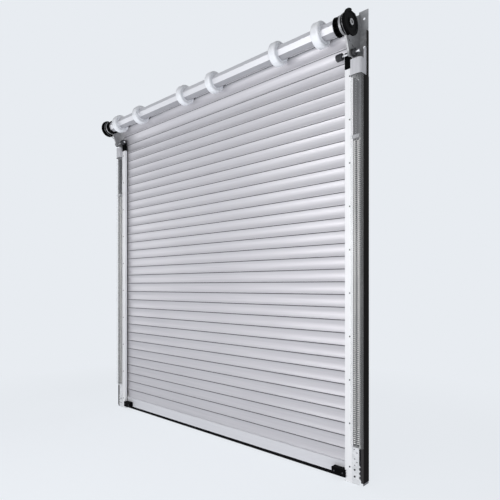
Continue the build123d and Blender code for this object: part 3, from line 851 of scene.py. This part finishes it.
@dataclass
class Mesh:
    """Points and faces that grow piece by piece before they become an object."""

    points: list[Point] = field(default_factory=list)
    faces: list[tuple[int, ...]] = field(default_factory=list)

    def add(self, points: Iterable[Point], faces: Iterable[Sequence[int]]) -> None:
        """Adds points and faces.

        Args:
            points: The points.
            faces: The faces, each a row of numbers that count these points from nought.
        """
        base = len(self.points)
        self.points += [tuple(map(float, point)) for point in points]
        self.faces += [tuple(base + index for index in face) for face in faces]

    def tube(self, path: np.ndarray, radius: float, sides: int) -> None:
        """Adds a closed round tube along a path.

        Args:
            path: The points of the centre line, one row each.
            radius: The tube's radius.
            sides: How many flats it has.
        """
        steps = np.gradient(path, axis=0)
        steps /= np.linalg.norm(steps, axis=1)[:, None]
        angles = np.arange(sides) * 2 * math.pi / sides
        cosines, sines = np.cos(angles)[:, None], np.sin(angles)[:, None]
        normal = np.cross(steps[0], (0.0, 1.0, 0.0))
        if np.linalg.norm(normal) < NEARLY_PARALLEL:
            normal = np.cross(steps[0], (1.0, 0.0, 0.0))
        rings = []
        for point, step in zip(path, steps, strict=True):
            normal = normal - step * normal.dot(step)
            normal /= np.linalg.norm(normal)
            rings.append(point + radius * (cosines * normal + sines * np.cross(step, normal)))
        last = (len(path) - 1) * sides
        faces: list[tuple[int, ...]] = []
        for ring in range(0, last, sides):
            for index in range(sides):
                low, near = ring + index, ring + (index + 1) % sides
                faces.append((low, near, near + sides, low + sides))
        faces.append(tuple(reversed(range(sides))))
        faces.append(tuple(range(last, last + sides)))
        self.add(np.concatenate(rings), faces)

    def build(self, name: str, finish: Finish) -> bpy.types.Object:
        """Makes the object and logs it.

        Args:
            name: The piece's name.
            finish: Its finish.

        Returns:
            The linked object.
        """
        data = bpy.data.meshes.new(name)
        data.from_pydata(self.points, [], self.faces)
        data.validate()
        piece = bpy.data.objects.new(name, data)
        bpy.context.scene.collection.objects.link(piece)
        data.polygons.foreach_set("use_smooth", [True] * len(data.polygons))
        data.set_sharp_from_angle(angle=math.radians(SHARP_ANGLE))
        dress(piece, finish)
        log.info("%s: %d faces", name, len(data.polygons))
        return piece


@dataclass(frozen=True)
class CadNodes:
    """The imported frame's nodes, which only get their finishes."""

    nodes: Mapping[str, bpy.types.Object]
    finishes: Mapping[str, Finish] = field(
        default_factory=lambda: {
            "guide_rail": Finish.WHITE,
            "slide_liner": Finish.SOFT_BLACK,
            "side_cover": Finish.BLACK_PAINT,
            "spring_channel": Finish.GREY,
            "spring_cover": Finish.CLEAR,
            "anchor_plate": Finish.BRIGHT_ZINC,
            "upper_housing": Finish.HOUSING,
            "console": Finish.ZINC,
            "shaft_bearing": Finish.BLACK,
            "roller_axle": Finish.BRIGHT,
            "inlet_block": Finish.BLACK,
            "rope": Finish.ROPE,
            "spring": Finish.SPRING,
            "inlet_roller": Finish.ROLLER,
            "rope_pulley": Finish.ROLLER,
            "spring_head": Finish.ZINC,
            "end_hub": Finish.BLACK,
            "axle_stub": Finish.STUB,
            "rope_drum": Finish.BLACK,
            "end_block": Finish.BLACK,
            "rail_screws": Finish.DARK_STEEL,
            "anchor_bolts": Finish.DARK_STEEL,
            "bearing_screws": Finish.BRIGHT,
            "end_block_screws": Finish.DARK_STEEL,
            "octagonal_tube": Finish.TUBE,
            "winding_ring": Finish.RING,
            "hanger_straps": Finish.BLACK,
            "bottom_rail": Finish.RAIL,
            "bottom_seal": Finish.SOFT_BLACK,
            "slat_band": Finish.SLAT,
        }
    )

    def dress_all(self) -> None:
        """Gives every node the finish of the longest key that its name starts with."""
        for name, node in sorted(self.nodes.items()):
            kind = max((key for key in self.finishes if name.startswith(key)), key=len)
            dress(node, self.finishes[kind])
            log.info("%s: %s", name, self.finishes[kind].name.lower())


@dataclass(frozen=True)
class SpringPair:
    """The two long springs of one side, wound closer than their CAD stand-ins."""

    side: Side
    wire: float = 4.0 * MILLIMETRE
    pitch: float = 8.0 * MILLIMETRE
    hook: float = 9.0 * MILLIMETRE
    steps_in_turn: int = 14
    wire_sides: int = 8
    travel: float = 0.47

    def build(self) -> None:
        """Winds both springs between the shelf and the spring head, for the CAD springs."""
        node = f"spring_{self.side.word}"
        low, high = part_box(node)
        outer = (high.y - low.y) / 2
        mesh = Mesh()
        for centre_x in (low.x + outer, high.x - outer):
            centre = (centre_x, (low.y + high.y) / 2)
            path = self._path(centre, outer - self.wire / 2, (low.z, high.z))
            mesh.tube(path, self.wire / 2, self.wire_sides)
        piece = mesh.build(f"coil_springs_{self.side.word}", Finish.SPRING)
        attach(piece, "frame")
        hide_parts(node)
        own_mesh(piece)

    def _path(self, centre: tuple[float, float], coil: float, span: Span) -> np.ndarray:
        """The wire's centre line, with a straight hook at each end.

        Args:
            centre: The spring's axis in X and Y.
            coil: The radius of the turns.
            span: The lower and the upper end.

        Returns:
            The points, one row each.
        """
        x, y = centre
        start, end = span[0] + self.hook, span[1] - self.hook
        turns = round((end - start) / self.pitch)
        angles = np.linspace(0, 2 * math.pi * turns, turns * self.steps_in_turn + 1)
        heights = start + (end - start) * angles / angles[-1]
        helix = np.stack([x + coil * np.cos(angles), y + coil * np.sin(angles), heights], axis=1)
        foot = [(x + coil, y, span[0]), (x + coil, y, span[0] + self.hook / 2)]
        top = [(x + coil, y, end + self.hook / 2), (x + coil, y, end + self.hook)]
        return np.concatenate([foot, helix, top])


@dataclass(frozen=True)
class CoverRim:
    """The dark lip round the upper end of a clear spring cover."""

    side: Side
    radius: float = 1.1 * MILLIMETRE
    corner: float = 12 * MILLIMETRE
    corner_steps: int = 7
    lip_sides: int = 8

    def build(self) -> None:
        """Bends the lip round the cover's outline, from one back edge to the other."""
        low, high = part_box(f"spring_cover_{self.side.word}")
        height = high.z - self.radius
        left, right = low.x + self.radius, high.x - self.radius
        centre_y = low.y + self.radius + self.corner
        back = high.y - self.radius
        path = [(left, back, height)]
        quarter = math.pi / 2
        for centre_x, start in ((left + self.corner, 2), (right - self.corner, 3)):
            for angle in np.linspace(start, start + 1, self.corner_steps + 1) * quarter:
                x = centre_x + self.corner * math.cos(angle)
                path.append((x, centre_y + self.corner * math.sin(angle), height))
        path.append((right, back, height))
        mesh = Mesh()
        mesh.tube(np.array(path), self.radius, self.lip_sides)
        piece = mesh.build(f"cover_rim_{self.side.word}", Finish.SOFT_BLACK)
        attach(piece, "frame")


@dataclass(frozen=True)
class Lamp:
    """One flat rectangular lamp that the camera doesn't see. Power in watts."""

    name: str
    place: Point
    aim: Point
    size: tuple[float, float]
    power: float

    def hang(self) -> None:
        """Adds the lamp, turned to the point that it looks at."""
        data = bpy.data.lights.new(self.name, "AREA")
        data.shape = "RECTANGLE"
        data.size, data.size_y = self.size
        data.energy = self.power
        lamp = bpy.data.objects.new(self.name, data)
        lamp.visible_camera = False
        lamp.location = self.place
        way = Vector(self.aim) - Vector(self.place)
        lamp.rotation_mode = "QUATERNION"
        lamp.rotation_quaternion = way.to_track_quat("-Z", "Y")
        bpy.context.scene.collection.objects.link(lamp)


@dataclass(frozen=True)
class Studio:
    """Camera, lamps, backdrop and floor.

    The camera's place, turn and focal length were fitted to the photograph. The front lamp is a
    long strip at the camera's height, which gives each slat its shading from top to bottom.
    """

    eye: Point = (1.883, -1.6596, 0.825)
    turn: float = 42.9  # degrees, about Z
    focal_pixels: float = 460.0
    horizon_row: float = 286.0
    sensor: float = 36.0  # millimetres
    backdrop: Colour = linear(232, 236, 241)
    world_light: float = 0.2
    lamps: tuple[Lamp, ...] = (
        Lamp("front", (0.95, -1.95, 1.12), (0.95, 0.0, 1.12), (3.5, 0.3), 35.0),
        Lamp("left", (-3.0, -1.0, 1.3), (0.0, 0.0, 0.9), (1.2, 1.2), 8.0),
        Lamp("back", (0.5, 3.2, 2.6), (0.0, 0.0, 1.0), (2.4, 2.4), 30.0),
    )
    floor_reach: float = 9.0
    floor_share: float = 0.22
    floor_lift: float = 1.12
    floor_fade: Span = (1.6, 2.6)

    def set_camera(self) -> None:
        """Puts the camera where the photograph was taken."""
        data = bpy.data.cameras.new("camera")
        data.sensor_width = self.sensor
        data.lens = self.sensor * self.focal_pixels / PHOTO_SIZE
        data.shift_y = (self.horizon_row - PHOTO_SIZE / 2) / PHOTO_SIZE
        camera = bpy.data.objects.new("camera", data)
        camera.location = self.eye
        camera.rotation_euler = (math.pi / 2, 0, math.radians(self.turn))
        bpy.context.scene.collection.objects.link(camera)
        bpy.context.scene.camera = camera

    def set_world(self) -> None:
        """Lights from all round, and shows the backdrop to the eye and in reflections."""
        world = bpy.data.worlds.new("studio")
        world.use_nodes = True
        bpy.context.scene.world = world
        nodes = Nodes(world.node_tree)
        camera, glossy, through = (
            nodes.node("ShaderNodeLightPath", output=f"Is {ray} Ray")
            for ray in ("Camera", "Glossy", "Transmission")
        )
        light = {"Color": (1.0, 1.0, 1.0), "Strength": self.world_light}
        lit = nodes.node("ShaderNodeBackground", inputs=light)
        shown = nodes.node("ShaderNodeBackground", inputs={"Color": self.backdrop})
        seen = camera.most(glossy).most(through)
        mixed = nodes.node("ShaderNodeMixShader", inputs={0: seen, 1: lit, 2: shown})
        nodes.node("ShaderNodeOutputWorld", inputs={"Surface": mixed})

    def hang_lamps(self) -> None:
        """Adds the large soft lamps."""
        for lamp in self.lamps:
            lamp.hang()

    def lay_floor(self) -> None:
        """Lays the floor, which keeps the shutter's shadow and fades into the backdrop."""
        reach = self.floor_reach
        data = bpy.data.meshes.new("floor")
        corners = [(-reach, -reach, 0), (reach, -reach, 0), (reach, reach, 0), (-reach, reach, 0)]
        data.from_pydata(corners, [], [(0, 1, 2, 3)])
        floor = bpy.data.objects.new("floor", data)
        bpy.context.scene.collection.objects.link(floor)
        data.materials.append(self._floor_material())
        floor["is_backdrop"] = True

    def _floor_material(self) -> bpy.types.Material:
        """A floor that shines by itself, with a share that takes light and shadow."""
        shader = Shader("floor")
        across, along = shader.axis("X"), shader.axis("Y")
        distance = (across * across + along * along) ** 0.5
        shown = shader.node("ShaderNodeEmission", inputs={"Color": self.backdrop})
        raised = {"Color": self.backdrop, "Strength": self.floor_lift}
        lifted = shader.node("ShaderNodeEmission", inputs=raised)
        matt = shader.node("ShaderNodeBsdfDiffuse", inputs={"Color": self.backdrop})
        near = shader.node("ShaderNodeMixShader", inputs={0: self.floor_share, 1: lifted, 2: matt})
        faded = {0: distance.spread(*self.floor_fade), 1: near, 2: shown}
        surface = shader.node("ShaderNodeMixShader", inputs=faded)
        shader.node("ShaderNodeOutputMaterial", inputs={"Surface": surface})
        return shader.material


def write_sizes(frame_box: tuple[Vector, Vector]) -> None:
    """Turns the CAD box and the dressed model's box into JSON text, which is not kept.

    Args:
        frame_box: The box just after the frame was loaded.
    """
    for low, high in (frame_box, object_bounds()):
        json.dumps([[round(v, 5) for v in low], [round(v, 5) for v in high]])


def main() -> None:
    """Builds the dressed shutter."""
    logging.basicConfig(level=logging.INFO, format="%(message)s")
    bpy.context.scene.view_settings.view_transform = "Standard"
    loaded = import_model()
    frame_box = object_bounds()
    studio = Studio()
    studio.set_camera()
    CadNodes(loaded["nodes"]).dress_all()
    for side in Side:
        SpringPair(side).build()
        CoverRim(side).build()
    studio.set_world()
    studio.hang_lamps()
    studio.lay_floor()
    write_sizes(frame_box)


if __name__ == "__main__":
    main()
